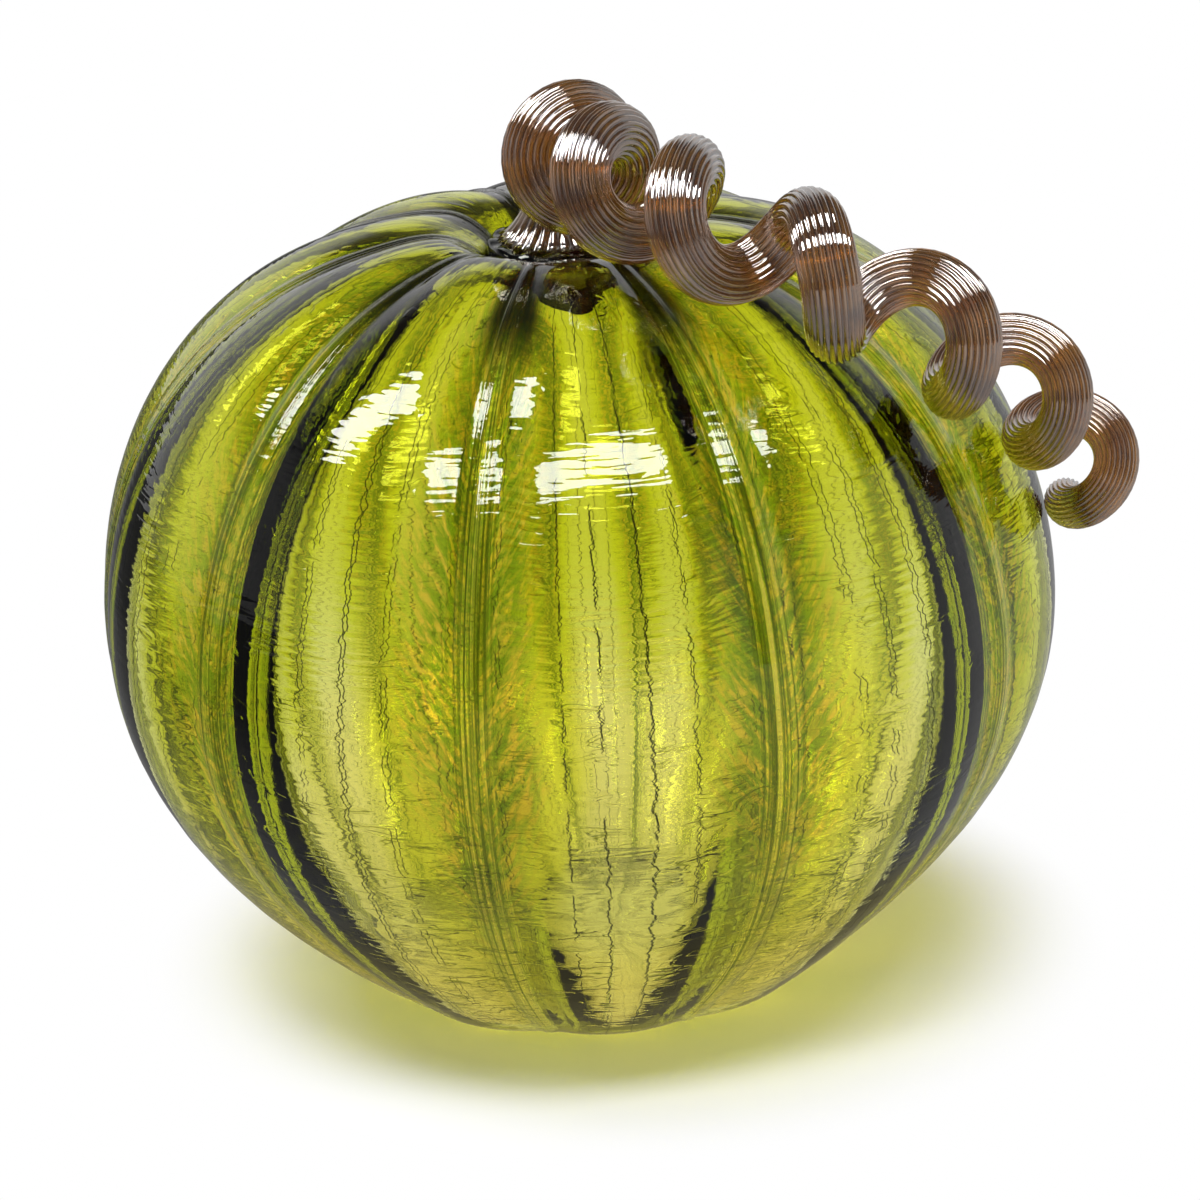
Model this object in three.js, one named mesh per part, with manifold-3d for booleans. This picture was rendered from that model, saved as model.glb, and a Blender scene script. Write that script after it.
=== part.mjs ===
// Glass pumpkin: a blown body of ten lobes with a fluted, curled stem laid over one shoulder.
// Millimetres, +Z up. The origin is the middle of the flat base; the front of the object faces -Y.

import * as THREE from "three";
import { mergeVertices } from "three/addons/utils/BufferGeometryUtils.js";
import Module from "manifold-3d";

const wasm = await Module();
wasm.setup();

const turn = 2 * Math.PI;

// Body: overall round
const bodyWidth = 230;
const bodyRadius = bodyWidth / 2;
const widestHeight = 0.825 * bodyRadius;
const shoulderRise = 0.822 * bodyRadius;
const shoulderPower = 0.75;
const bellyDrop = 1.068 * bodyRadius;
const bellyPower = 1.73;

// Body: deep dimple at the top, filled by the glass of the stem
const dimpleDepth = 26;
const dimpleSpread = 17;

// Body: lobes, and the narrow rib in each crease between them
const lobeCount = 10;
const firstRibAzimuth = THREE.MathUtils.degToRad(-12.5);
const lobeDepth = 3;
const lobePower = 2;
const lobeBalance = 0.65;
const ribHeight = 1.5;
const ribHalfAngle = THREE.MathUtils.degToRad(1.7);
const lobeFadeInner = 18;
const lobeFadeOuter = 46;

// Body: wall, the glass gathered inside each rib, and the hole left where it was cracked off the pipe
const wallThickness = 2.8;
const baseThickness = 5;
const gatherDepth = 6.5;
const gatherHalfAngle = THREE.MathUtils.degToRad(9);
const holeRadius = 8;

// Stem: cane, curl and the line it follows over the shoulder
const caneRadius = 7;
const tailCaneRadius = 5.1;
const fluteCount = 26;
const fluteDepth = 0.7;
const curlRadius = 10.4;
const tailCurlRadius = 7.4;
const curlStart = -0.2;
const curlEnd = 6.6;
const routeStart = -0.5;
const routeEnd = 6.75;
const taperStart = 3.2;
const curlTightenStart = 4.5;
const curlPhase = -0.53;
// Stations of that line: degrees round the body, degrees up it, and lift off it in radii of the cane.
const curlRoute = [
  { azimuth: 12, station: 89.3, lift: 0.3 },
  { azimuth: 15.7, station: 83.3, lift: 0.23 },
  { azimuth: 27.2, station: 71.5, lift: 0.54 },
  { azimuth: 38.6, station: 55.5, lift: 1.24 },
  { azimuth: 57.4, station: 42.2, lift: 0.36 },
  { azimuth: 72.5, station: 27.2, lift: 0.13 },
  { azimuth: 82, station: 11.5, lift: 0.13 },
];

// Stem: the fluted foot of the cane, and the pad of glass that closes the hole under it
const footRadius = 15;
const footEdge = 1.2;
const footFlareHeight = 4;
const rootRise = 2.4 * caneRadius;
const rootLead = caneRadius;
const rootSteps = 6;
const rootSpacing = 1.5;
const tailNose = [{ shift: 0.55, shrink: 0.8 }, { shift: 0.9, shrink: 0.4 }];
const padMargin = 5;
const padRadius = footRadius + padMargin;
const padSink = 5.4;
const padEdge = 1.4;
const padRimHeight = 0.5;
const padCrownPower = 4;
const padRidges = 12;
const padGrooveDepth = 0.6;

// Clearance between pieces
const fitGap = 0.3;

// Steps for measuring a slope: round the body in radians, along the curl in turns
const angleStep = 1e-4;
const turnStep = 0.01;

// How finely each surface is divided
const bellyRows = 6;
const shoulderRows = 7;
const dimpleRows = 7;
const dimpleRowsFrom = 46;
const dimpleRowsTo = 6;
const gorePlan = [0, 0.07, 0.15, 0.5, 1];
const cavityGorePlan = [0, 0.45, 1];
const canePointsPerTurn = 11;
const holeSegments = 32;
const padPointsPerRidge = 4;
const padTopShares = [0.96, 0.85, 0.65, 0.4];

// The smooth round of the body at a station angle: 0 at the widest ring, 90 degrees at the top.
function roundAt(angle) {
  const across = Math.max(Math.cos(angle), 0);
  const up = Math.sin(angle);
  if (up >= 0) {
    return { radius: bodyRadius * across ** shoulderPower, height: widestHeight + shoulderRise * up };
  }
  return { radius: bodyRadius * across ** bellyPower, height: widestHeight + bellyDrop * up };
}

// Station angle on the shoulder at which the round has this radius.
function shoulderAngle(radius) {
  return Math.acos((radius / bodyRadius) ** (1 / shoulderPower));
}

// Station angle at which the belly meets the flat base.
function baseAngle() {
  return -Math.asin(widestHeight / bellyDrop);
}

function dimpleAt(radius) {
  return dimpleDepth * Math.exp(-((radius / dimpleSpread) ** 2));
}

// Distances from the middle at which the dimple has a row of points.
function dimpleRadii() {
  const radii = [];
  for (let row = 0; row <= dimpleRows; row += 1) {
    radii.push(THREE.MathUtils.lerp(dimpleRowsFrom, dimpleRowsTo, row / dimpleRows));
  }
  return radii;
}

// Height of the dimpled top at a distance from the middle, before lobes and ribs.
function topHeight(radius) {
  return roundAt(shoulderAngle(radius)).height - dimpleAt(radius);
}

// Profile of the body from the flat base to the dimple, as stations on the smooth round.
function profileStations() {
  const stations = [];
  const lowest = baseAngle();
  for (let row = 0; row < bellyRows; row += 1) {
    const angle = lowest * (1 - row / bellyRows);
    stations.push(roundAt(angle));
  }
  const dimpleAngle = shoulderAngle(dimpleRowsFrom);
  for (let row = 0; row < shoulderRows; row += 1) {
    const station = roundAt((dimpleAngle * row) / shoulderRows);
    stations.push({ radius: station.radius, height: station.height - dimpleAt(station.radius) });
  }
  dimpleRadii().forEach((radius) => stations.push({ radius, height: topHeight(radius) }));
  return stations.map((station, row) => ({ ...station, outward: outwardAt(stations, row) }));
}

// Way in which a lobe swells at a station: level up to the widest ring, square to the profile above it.
function outwardAt(stations, row) {
  if (stations[row].height <= widestHeight) {
    return new THREE.Vector2(1, 0);
  }
  const before = stations[row - 1];
  const after = stations[Math.min(row + 1, stations.length - 1)];
  return new THREE.Vector2(after.height - before.height, before.radius - after.radius).normalize();
}

// The same profile pushed inwards by the wall, with a thicker floor.
function cavityStations() {
  const outer = profileStations();
  return outer.map((station, row) => {
    const before = outer[Math.max(row - 1, 0)];
    const after = outer[Math.min(row + 1, outer.length - 1)];
    const along = new THREE.Vector2(after.radius - before.radius, after.height - before.height).normalize();
    const radius = station.radius - along.y * wallThickness;
    const height = station.height + along.x * wallThickness;
    return { radius, height: Math.max(height, baseThickness), outward: station.outward };
  });
}

// Directions round the axis for one row of points, each with its offset from the nearest rib.
function goreColumns(plan) {
  const halfGore = turn / lobeCount / 2;
  const columns = [];
  for (let gore = 0; gore < lobeCount; gore += 1) {
    const rib = firstRibAzimuth + (gore * turn) / lobeCount;
    const before = plan.slice(1, -1).reverse().map((share) => -share);
    for (const share of [...before, ...plan]) {
      columns.push({ azimuth: rib + share * halfGore, fromRib: Math.abs(share) * halfGore });
    }
  }
  return columns;
}

// Lobes and ribs die away towards the poles.
function lobeFade(radius) {
  return THREE.MathUtils.smoothstep(radius, lobeFadeInner, lobeFadeOuter);
}

// How far a lobe stands in or out from the smooth round at an angle from the nearest rib.
function lobeOffset(fromRib, radius) {
  const share = (fromRib * lobeCount * 2) / turn;
  const swell = 1 - (1 - share) ** lobePower;
  return lobeFade(radius) * lobeDepth * (swell - lobeBalance);
}

// How far a rounded ridge along the rib stands up.
function ridgeOffset(fromRib, radius, height, halfAngle) {
  return lobeFade(radius) * height * Math.exp(-((fromRib / halfAngle) ** 2));
}

function outerOffset(fromRib, radius) {
  return lobeOffset(fromRib, radius) + ridgeOffset(fromRib, radius, ribHeight, ribHalfAngle);
}

function innerOffset(fromRib, radius) {
  return lobeOffset(fromRib, radius) - ridgeOffset(fromRib, radius, gatherDepth, gatherHalfAngle);
}

// A point at an azimuth: 0 faces -Y, and the angle grows towards +X.
function pointAt(azimuth, radius, height) {
  return new THREE.Vector3(radius * Math.sin(azimuth), -radius * Math.cos(azimuth), height);
}

// A closed solid through a list of rings, each ring a list of the same number of points.
function loft(rings) {
  const count = rings[0].length;
  const positions = [];
  const addPoint = (point) => positions.push(point.x, point.y, point.z);
  rings.forEach((ring) => ring.forEach(addPoint));
  const middleOf = (ring) => {
    const sum = ring.reduce((total, point) => total.add(point), new THREE.Vector3());
    return sum.divideScalar(count);
  };
  addPoint(middleOf(rings[0]));
  addPoint(middleOf(rings[rings.length - 1]));
  const firstMiddle = rings.length * count;
  const lastMiddle = firstMiddle + 1;
  const index = [];
  for (let row = 0; row < rings.length - 1; row += 1) {
    for (let column = 0; column < count; column += 1) {
      const next = (column + 1) % count;
      const a = row * count + column;
      const b = row * count + next;
      const c = a + count;
      const d = b + count;
      index.push(a, b, d, a, d, c);
    }
  }
  const lastRow = (rings.length - 1) * count;
  for (let column = 0; column < count; column += 1) {
    const next = (column + 1) % count;
    index.push(firstMiddle, next, column);
    index.push(lastMiddle, lastRow + column, lastRow + next);
  }
  const geometry = new THREE.BufferGeometry();
  geometry.setAttribute("position", new THREE.Float32BufferAttribute(positions, 3));
  geometry.setIndex(index);
  return geometry;
}

// Rings of the body's surface through a list of stations.
function lobedRings(stations, plan, offsetAt) {
  const columns = goreColumns(plan);
  return stations.map(({ radius, height, outward }) =>
    columns.map(({ azimuth, fromRib }) => {
      const offset = offsetAt(fromRib, radius);
      return pointAt(azimuth, radius + offset * outward.x, height + offset * outward.y);
    })
  );
}

function toManifold(geometry) {
  const bare = geometry.clone();
  bare.deleteAttribute("normal");
  bare.deleteAttribute("uv");
  const merged = mergeVertices(bare, 1e-4);
  return new wasm.Manifold(
    new wasm.Mesh({
      numProp: 3,
      vertProperties: new Float32Array(merged.attributes.position.array),
      triVerts: new Uint32Array(merged.index.array),
    })
  );
}

function fromManifold(solid) {
  const mesh = solid.getMesh();
  const geometry = new THREE.BufferGeometry();
  geometry.setAttribute("position", new THREE.BufferAttribute(new Float32Array(mesh.vertProperties), 3));
  geometry.setIndex(new THREE.BufferAttribute(new Uint32Array(mesh.triVerts), 1));
  return geometry;
}

// Hollow body: the lobed round, less the cavity, less the hole in the dimple.
function bodyShell() {
  const outside = toManifold(loft(lobedRings(profileStations(), gorePlan, outerOffset)));
  const cavity = toManifold(loft(lobedRings(cavityStations(), cavityGorePlan, innerOffset)));
  const holeProfile = [
    new THREE.Vector2(0, widestHeight),
    new THREE.Vector2(holeRadius, widestHeight),
    new THREE.Vector2(holeRadius, widestHeight + 2 * shoulderRise),
    new THREE.Vector2(0, widestHeight + 2 * shoulderRise),
  ];
  const hole = new THREE.LatheGeometry(holeProfile, holeSegments);
  hole.rotateX(Math.PI / 2);
  return fromManifold(outside.subtract(cavity).subtract(toManifold(hole)));
}

// Middle line of the curled cane: turns wound round a line that lies over the shoulder.
// The turns are thrown out a little, so that their chords touch the true round.
function curlPoints() {
  const route = new THREE.CatmullRomCurve3(
    curlRoute.map(({ azimuth, station, lift }) => new THREE.Vector3(azimuth, station, lift)),
    false,
    "catmullrom"
  );
  const alongRoute = (turns) => THREE.MathUtils.mapLinear(turns, routeStart, routeEnd, 0, 1);
  const axisAt = (turns) => {
    const { x: azimuth, y: station, z: lift } = route.getPoint(THREE.MathUtils.clamp(alongRoute(turns), 0, 1));
    const angle = THREE.MathUtils.degToRad(station);
    const here = roundAt(angle);
    const above = roundAt(angle + angleStep);
    const below = roundAt(angle - angleStep);
    const slope = new THREE.Vector2(above.height - below.height, below.radius - above.radius).normalize();
    const heading = THREE.MathUtils.degToRad(azimuth);
    const outward = pointAt(heading, slope.x, slope.y);
    const reach = curlRadiusAt(turns) + caneRadiusAt(turns) + lift * caneRadius;
    const position = pointAt(heading, here.radius, here.height).addScaledVector(outward, reach);
    return { position, outward };
  };
  const steps = Math.round((curlEnd - curlStart) * canePointsPerTurn);
  const roundChords = 1 / Math.cos(Math.PI / canePointsPerTurn);
  const points = [];
  for (let step = 0; step <= steps; step += 1) {
    const turns = THREE.MathUtils.lerp(curlStart, curlEnd, step / steps);
    const { position, outward } = axisAt(turns);
    const ahead = axisAt(turns + turnStep).position;
    const behind = axisAt(turns - turnStep).position;
    const along = ahead.sub(behind).normalize();
    const out = outward.addScaledVector(along, -outward.dot(along)).normalize();
    const side = new THREE.Vector3().crossVectors(along, out);
    const phase = turns * turn + curlPhase;
    const throwOut = roundChords * curlRadiusAt(turns);
    position.addScaledVector(out, throwOut * Math.cos(phase));
    position.addScaledVector(side, throwOut * Math.sin(phase));
    points.push({ position, radius: caneRadiusAt(turns) });
  }
  return points;
}

function curlRadiusAt(turns) {
  const share = THREE.MathUtils.clamp((turns - curlTightenStart) / (curlEnd - curlTightenStart), 0, 1);
  return THREE.MathUtils.lerp(curlRadius, tailCurlRadius, share);
}

function caneRadiusAt(turns) {
  const share = THREE.MathUtils.clamp((turns - taperStart) / (curlEnd - taperStart), 0, 1);
  return THREE.MathUtils.lerp(caneRadius, tailCaneRadius, share);
}

// Root of the cane: a foot spread on the pad, from which the cane rises to its first turn.
function rootPoints(first, second) {
  const foot = new THREE.Vector3(0, 0, padTop(footRadius) + fitGap);
  const start = foot.clone().setZ(foot.z + footEdge);
  const rise = start.clone().setZ(start.z + rootRise);
  const lead = first.position.clone().sub(second.position).setLength(rootLead);
  const path = new THREE.CubicBezierCurve3(start, rise, first.position.clone().add(lead), first.position);
  const points = [{ position: foot, radius: footRadius }];
  for (let step = 0; step < rootSteps; step += 1) {
    const position = path.getPoint((step / rootSteps) ** rootSpacing);
    const flare = Math.exp((foot.z - position.z) / footFlareHeight);
    points.push({ position, radius: THREE.MathUtils.lerp(first.radius, footRadius, flare) });
  }
  return points;
}

// Middle line of the whole cane, from the root to the tail.
function caneLine() {
  const curl = curlPoints();
  return [...rootPoints(curl[0], curl[1]), ...curl];
}

// Rings of the fluted cane along its middle line, with a rounded nose at its tail.
function caneRings(line) {
  const directions = line.map((_, place) => {
    const before = line[Math.max(place - 1, 0)].position;
    const after = line[Math.min(place + 1, line.length - 1)].position;
    return after.clone().sub(before).normalize();
  });
  const across = new THREE.Vector3(1, 0, 0);
  const rings = [];
  const addRing = (place, shift, shrink) => {
    const { position, radius } = line[place];
    const direction = directions[place];
    const side = new THREE.Vector3().crossVectors(direction, across);
    const centre = position.clone().addScaledVector(direction, shift * radius);
    const ring = [];
    for (let step = 0; step < 2 * fluteCount; step += 1) {
      const angle = (step / (2 * fluteCount)) * turn;
      const groove = (step % 2) * fluteDepth * (radius / caneRadius);
      const reach = shrink * (radius - groove);
      const point = centre.clone().addScaledVector(across, reach * Math.cos(angle));
      ring.push(point.addScaledVector(side, reach * Math.sin(angle)));
    }
    rings.push(ring);
  };
  line.forEach((_, place) => {
    across.addScaledVector(directions[place], -across.dot(directions[place])).normalize();
    addRing(place, 0, 1);
    if (place === line.length - 1) {
      tailNose.forEach(({ shift, shrink }) => addRing(place, shift, shrink));
    }
  });
  return rings;
}

// Underside and top of the pad at a distance from the middle: it follows the dimple and fills it.
function padUnder(radius) {
  const slope = (2 * radius * dimpleAt(radius)) / dimpleSpread ** 2;
  return topHeight(radius) + fitGap * Math.hypot(1, slope);
}

function padTop(radius) {
  const crown = topHeight(0) + dimpleDepth - padSink;
  return THREE.MathUtils.lerp(crown, padUnder(padRadius) + padEdge, (radius / padRadius) ** padCrownPower);
}

// Rings of the pad that closes the hole; its rim is pinched into ridges.
function padRings() {
  const points = padPointsPerRidge * padRidges;
  const ringAt = (radius, heightAt) => {
    const ring = [];
    for (let place = 0; place < points; place += 1) {
      const azimuth = (place / points) * turn;
      ring.push(pointAt(azimuth, radius, heightAt(radius, azimuth)));
    }
    return ring;
  };
  const ridged = (radius, azimuth) => {
    const groove = (padGrooveDepth * (1 - Math.cos(azimuth * padRidges))) / 2;
    return padTop(radius) - groove * (radius / padRadius) ** 2;
  };
  const underRadii = dimpleRadii().filter((radius) => radius < padRadius).reverse();
  const rings = underRadii.map((radius) => ringAt(radius, padUnder));
  rings.push(ringAt(padRadius, (radius) => padUnder(radius) + padRimHeight));
  for (const share of padTopShares) {
    rings.push(ringAt(padRadius * share, ridged));
  }
  return rings;
}

function glass(colour, roughness) {
  return new THREE.MeshStandardMaterial({
    color: colour,
    roughness,
    metalness: 0,
    transparent: true,
    opacity: 0.6,
  });
}

function piece(name, geometry, material) {
  const bare = geometry.toNonIndexed();
  bare.computeVertexNormals();
  const mesh = new THREE.Mesh(bare, material);
  mesh.name = name;
  return mesh;
}

const limeGlass = glass("#a3ad1e", 0.06);
const amberGlass = glass("#5a3a16", 0.1);
const darkAmberGlass = glass("#2e1b0c", 0.12);

const pumpkin = new THREE.Group();
pumpkin.name = "glass_pumpkin";
pumpkin.add(piece("body_shell", bodyShell(), limeGlass));
pumpkin.add(piece("stem_pad", loft(padRings()), darkAmberGlass));
pumpkin.add(piece("stem_curl", loft(caneRings(caneLine())), amberGlass));

export default pumpkin;
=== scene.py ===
"""Glass pumpkin: blown body, dark pad and curled stem, dressed over the packed solids."""

import math

import bpy
import numpy as np
from bpy.props import FloatProperty, FloatVectorProperty, IntProperty, PointerProperty, StringProperty
from mathutils import Matrix, Vector, noise


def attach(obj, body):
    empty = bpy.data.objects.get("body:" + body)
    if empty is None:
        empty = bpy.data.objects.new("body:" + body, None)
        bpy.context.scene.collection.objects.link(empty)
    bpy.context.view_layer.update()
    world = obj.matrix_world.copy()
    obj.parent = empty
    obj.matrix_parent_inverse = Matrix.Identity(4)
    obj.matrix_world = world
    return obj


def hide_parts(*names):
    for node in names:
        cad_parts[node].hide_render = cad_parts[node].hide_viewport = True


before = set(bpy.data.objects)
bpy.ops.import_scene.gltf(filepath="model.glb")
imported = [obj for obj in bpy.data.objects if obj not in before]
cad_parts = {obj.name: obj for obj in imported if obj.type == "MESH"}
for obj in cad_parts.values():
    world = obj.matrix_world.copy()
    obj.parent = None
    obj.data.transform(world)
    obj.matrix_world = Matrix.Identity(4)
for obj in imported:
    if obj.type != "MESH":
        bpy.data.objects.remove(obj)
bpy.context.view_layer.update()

bl_info = {
    "name": "Glass pumpkin",
    "version": (1, 0, 0),
    "blender": (4, 5, 0),
    "location": "3D View > Sidebar > Pumpkin",
    "description": "Models a blown glass pumpkin with a curled stem around its solids",
    "category": "Object",
}

MM = 0.001
FULL_TURN = 2 * math.pi


# Sizes and colours that a user would change

class PumpkinBody(bpy.types.PropertyGroup):
    """Sizes of the blown body."""

    width: FloatProperty(name="Width", description="Width of the round", default=230 * MM, unit="LENGTH")
    lobes: IntProperty(name="Lobes", description="Number of lobes", default=10, min=3)
    first_rib: FloatProperty(
        name="First rib",
        description="Direction of the first rib, from the front towards +X",
        default=math.radians(-12.5),
        subtype="ANGLE",
    )
    lobe_depth: FloatProperty(
        name="Lobe depth", description="Depth of the crease at a rib", default=3 * MM, unit="LENGTH"
    )
    rib_height: FloatProperty(
        name="Rib height", description="How far a rib stands up", default=1.5 * MM, unit="LENGTH"
    )
    wall: FloatProperty(name="Wall", description="Thickness of the panels", default=2.8 * MM, unit="LENGTH")
    rib_extra: FloatProperty(
        name="Extra at ribs", description="Glass gathered inside each rib", default=6.5 * MM, unit="LENGTH"
    )
    floor: FloatProperty(name="Floor", description="Thickness at the base", default=5 * MM, unit="LENGTH")
    hole: FloatProperty(
        name="Hole radius", description="Hole left by the blowing pipe", default=8 * MM, unit="LENGTH"
    )


class PumpkinStem(bpy.types.PropertyGroup):
    """Sizes of the pad and of the curled cane."""

    cane_radius: FloatProperty(
        name="Cane radius", description="Radius of the cane at its root", default=7 * MM, unit="LENGTH"
    )
    tail_radius: FloatProperty(
        name="Tail radius", description="Radius of the cane at its tail", default=5.1 * MM, unit="LENGTH"
    )
    flutes: IntProperty(name="Flutes", description="Number of flutes round the cane", default=26, min=6)
    flute_depth: FloatProperty(
        name="Flute depth", description="Depth of a flute", default=0.7 * MM, unit="LENGTH"
    )
    curl_radius: FloatProperty(
        name="Curl radius", description="Radius of the first turns", default=10.4 * MM, unit="LENGTH"
    )
    tail_curl_radius: FloatProperty(
        name="Tail curl radius", description="Radius of the last turn", default=7.4 * MM, unit="LENGTH"
    )
    foot_radius: FloatProperty(
        name="Foot radius", description="Radius of the spread foot", default=15 * MM, unit="LENGTH"
    )
    pad_radius: FloatProperty(
        name="Pad radius", description="Radius of the pad under the foot", default=20 * MM, unit="LENGTH"
    )
    pad_shown: FloatProperty(
        name="Pad shown", description="Radius out to which it is drawn", default=17.5 * MM, unit="LENGTH"
    )


class PumpkinColours(bpy.types.PropertyGroup):
    """Colours of the glass, as sRGB hex values."""

    panel: StringProperty(name="Panel", description="Pale glass amid a lobe", default="#f2f2c8")
    lime: StringProperty(name="Lime", description="Glass between panel and rib", default="#ebee6c")
    olive: StringProperty(name="Olive", description="Mottled green along the ribs", default="#93ab34")
    amber: StringProperty(name="Amber", description="Flecks along the ribs", default="#e8cf6c")
    seed: StringProperty(name="Seed", description="Dark threads and specks", default="#6b7a22")
    streak: StringProperty(name="Streak", description="Pale threads in a rib", default="#e6dca0")
    # Painted shade: the dark, refracted edges of the creases
    line: StringProperty(name="Line", description="Thin dark lines along the creases", default="#1c200a")
    shoulder: StringProperty(name="Shoulder", description="Glass near the top", default="#dfe158")
    khaki: StringProperty(name="Khaki", description="Glass near the base", default="#f8edb0")
    dash: StringProperty(name="Dash", description="Chill marks round the body", default="#8d9436")
    depth: StringProperty(name="Depth", description="Glass seen through its depth", default="#e9ed74")
    shadow: StringProperty(name="Shadow", description="Light through the body", default="#d2d07d")
    stem: StringProperty(name="Stem", description="Amber cane", default="#c08a34")
    stem_dark: StringProperty(name="Stem, dark", description="Its darker streaks", default="#7c5020")
    # Painted shade: darkens the glass at the bottom of each flute
    groove_shade: StringProperty(name="Gutter", description="Glass deep in a flute", default="#2a1404")
    # Dark glass under the foot, also the colour of the painted dark reflection along the ribs inside
    foot_stain_and_painted_reflection: StringProperty(name="Fused", description="Dark glass run out under the foot", default="#0d0803")
    pad: StringProperty(name="Pad", description="Brown glass, dark in its depth", default="#cb9540")


class PumpkinStage(bpy.types.PropertyGroup):
    """Camera, floor and lights."""

    distance: FloatProperty(
        name="Distance", description="Camera to the point it aims at", default=1273.2 * MM, unit="LENGTH"
    )
    elevation: FloatProperty(
        name="Elevation",
        description="Camera above the horizon",
        default=math.radians(20.78),
        subtype="ANGLE",
    )
    roll: FloatProperty(
        name="Roll", description="Tilt about the line of sight", default=-0.0476, subtype="ANGLE"
    )
    aim: FloatVectorProperty(
        name="Aim",
        description="Point in the middle of the picture",
        default=(5.35 * MM, 0, 91.7 * MM),
        subtype="TRANSLATION",
    )
    lens: FloatProperty(name="Lens", description="Focal length in millimetres", default=157.5)
    floor_size: FloatProperty(name="Floor", description="Width of the floor", default=12, unit="LENGTH")


# Form of the body, shared with the solids

WIDEST_SHARE = 0.825
SHOULDER_SHARE = 0.822
SHOULDER_POWER = 0.75
BELLY_SHARE = 1.068
BELLY_POWER = 1.73
DIMPLE_DEPTH = 26 * MM
DIMPLE_SPREAD = 17 * MM
LOBE_POWER = 2
LOBE_BALANCE = 0.65
LOBE_FADE = (18 * MM, 46 * MM)
RIB_HALF_ANGLE = math.radians(1.7)
GATHER_HALF_ANGLE = math.radians(9)

# Form that only the scene has: gathers that run out sooner on the shoulder, a rounded edge of the base,
# and waves in an outer wall that lies a little under the skin of the solid

GATHER_FADE = (36 * MM, 80 * MM)
BASE_ROUNDING = 6 * MM
SKIN = 0.4 * MM
SKIN_RISE = (1 * MM, 8 * MM)
SKIN_REACH = (20 * MM, 50 * MM)
WAVE_WIDTH = 24 * MM
WAVE_SPACING = 5 * MM
WAVE_SWELL = 0.05 * MM
WAVE_EXTRA = 0.12 * MM
WAVE_LOW = (100 * MM, 30 * MM)

# Line of the stem, shared with the solids, in turns of the curl
CURL_START = -0.2
CURL_END = 6.6
CURL_PHASE = -0.53
ROUTE_START = -0.5
ROUTE_END = 6.75
TAPER_START = 3.2
TIGHTEN_START = 4.5
# Stations of its route: degrees round the body, degrees up it, and lift off it in radii of the cane
ROUTE = (
    (12, 89.3, 0.3),
    (15.7, 83.3, 0.23),
    (27.2, 71.5, 0.54),
    (38.6, 55.5, 1.24),
    (57.4, 42.2, 0.36),
    (72.5, 27.2, 0.13),
    (82, 11.5, 0.13),
)

# Ends of the stem and form of the pad
FOOT_EDGE = 1.2 * MM
FOOT_FLARE = 4 * MM
ROOT_RISE = 2.4
TAIL_LENGTH = 0.9
TAIL_BENDS = (0.15, 1.45)
PAD_SINK = 5.4 * MM
PAD_EDGE = 1.4 * MM
PAD_RIM = 0.5 * MM
PAD_UNDER_SHARE = 0.92
PAD_OVER_SHARE = 0.97
PAD_CROWN_POWER = 4
PAD_RIDGES = 12
PAD_GROOVE = 0.6 * MM
FIT_GAP = 0.3 * MM

# How finely the pieces are drawn
OUTLINE_POINTS = 3000
ROUNDING_POINTS = 12
OUTER_ROWS = 150
INNER_ROWS = 56
RIB_SPAN = math.radians(6)
RIB_COLUMNS = 15
PANEL_COLUMNS = 24
ROOT_STEPS = 20
ROOT_SPACING = 1.5
LEAD_POINT = 3
TAIL_STEPS = 7
POINTS_PER_TURN = 36
POINTS_PER_FLUTE = 6
PAD_UNDER_ROWS = 16
PAD_OVER_ROWS = 24
COLUMNS_PER_RIDGE = 8
SLOPE_STEP = 0.1 * MM
STATION_STEP = 1e-4
TURN_STEP = 0.01
MERGE_DISTANCE = 0.002 * MM

# Marks in the glass, in millimetres. Grain of each: width round the widest ring, then height up the body
CLOUD = (14, 26)
SPECK = (1.2, 1.8)
RIPPLE = (24, 2.6)
RUFFLE = (16, 1.3)
CHILL = (15, 2.4)
PATCH = (11, 6)
FLAME_LENGTH = 6
FLAME_WIDTH = 1.7
FLAME_LEAN = math.radians(55)
THREAD = 0.8
THREAD_LENGTH = 90.0
CANE_CLOUD = 9
RELIEF = 0.09
# Thin lines of painted shade, where crease edges refract darkly: where counted from, distance from there,
# width, share left out
PAINTED_SHADE_LINES = (
    ("middle", 4.6, 0.26, 0.26),
    ("middle", -6.5, 0.22, 0.34),
    ("rib", 21, 0.2, 0.42),
    ("rib", 5.8, 0.2, 0.5),
)
JAG = 2.4
JAG_REACH = 4.5
# Distance from the middle of a lobe, from a rib or from the axis: where a mark begins and where it is full,
# and its values there where they aren't 0 and 1
PALE_EDGE = (18.0, 4.0)
PALE_WANDER = 16.0
MOTTLE_EDGE = (15.0, 1.0)
MOTTLE_WANDER = 18.0
MOTTLE_FLAMES = -14.0
RIB_EDGE = (4.4, 3.2)
CHILL_EDGE = (2.0, 9.0, 0.15, 1.0)
STAIN_EDGE = (19.5, 17.5)
# Painted dark reflection of the foot along the ribs inside: distance from a rib, then from the axis
DARK_REFLECTION_EDGE = (18.0, 10.0)
DARK_REFLECTION_END = (72.0, 50.0, 0.0, 0.93)
# Heights up the body between which a mark changes, and its values there where they aren't 0 and 1
PALE_SPREAD = (55.0, 105.0, -7.0, 0.0)
PALE_TOP = (145.0, 105.0)
SHOULDER_RISE = (105.0, 165.0)
KHAKI_FALL = (62.0, 22.0)
MOTTLE_RISE = (20.0, 75.0, 0.15, 1.0)
CHILL_FALL = (95.0, 40.0, -0.14, 0.02)
RIPPLE_RISE = (60.0, 130.0, 0.6, 1.1)
RUFFLE_RISE = (95.0, 130.0, 0.1, 1.6)
STAIN_RISE = (140.0, 150.0)
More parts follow.
